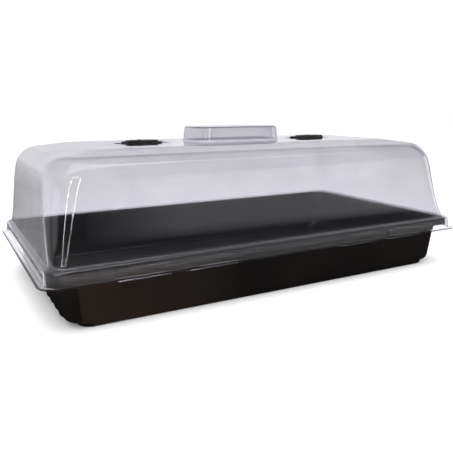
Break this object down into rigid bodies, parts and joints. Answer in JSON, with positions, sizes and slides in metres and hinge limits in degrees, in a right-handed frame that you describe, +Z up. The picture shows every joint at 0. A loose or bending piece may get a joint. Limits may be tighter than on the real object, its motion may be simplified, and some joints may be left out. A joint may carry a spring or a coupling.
{
  "type": "humidity dome tray",
  "caption": "Shallow black growing tray under a tall clear lift-off dome with a raised lifting grip and sliding roof vents.",
  "frame": {"origin": "centre of the tray's foot, on the surface that it stands on", "axes": "+X along the length, towards the right-hand vent; +Y across the width, towards the back; +Z up"},
  "size_m": [0.563, 0.301, 0.1911],
  "materials": {
    "tray_plastic": "glossy thermoformed black polystyrene sheet",
    "clear_plastic": "clear glossy thermoformed PET sheet",
    "vent_plastic": "moulded black polypropylene, satin"
  },
  "bodies": {
    "tray_body": {"tray": "tray_plastic"},
    "dome_body": {"dome": "clear_plastic", "vent_base_left": "vent_plastic", "vent_base_right": "vent_plastic", "vent_retainer_left": "vent_plastic", "vent_retainer_right": "vent_plastic"},
    "left_shutter": {"vent_slider_left": "vent_plastic"},
    "right_shutter": {"vent_slider_right": "vent_plastic"}
  },
  "joints": [
    {"name": "dome_lift", "type": "slide", "parent": "tray_body", "child": "dome_body", "axis": [0, 0, 1], "range_m": [0, 0.15]},
    {"name": "vent_slide_left", "type": "slide", "parent": "dome_body", "child": "left_shutter", "axis": [1, 0, 0], "range_m": [-0.0045, 0.0045]},
    {"name": "vent_slide_right", "type": "slide", "parent": "dome_body", "child": "right_shutter", "axis": [1, 0, 0], "range_m": [-0.009, 0]}
  ]
}
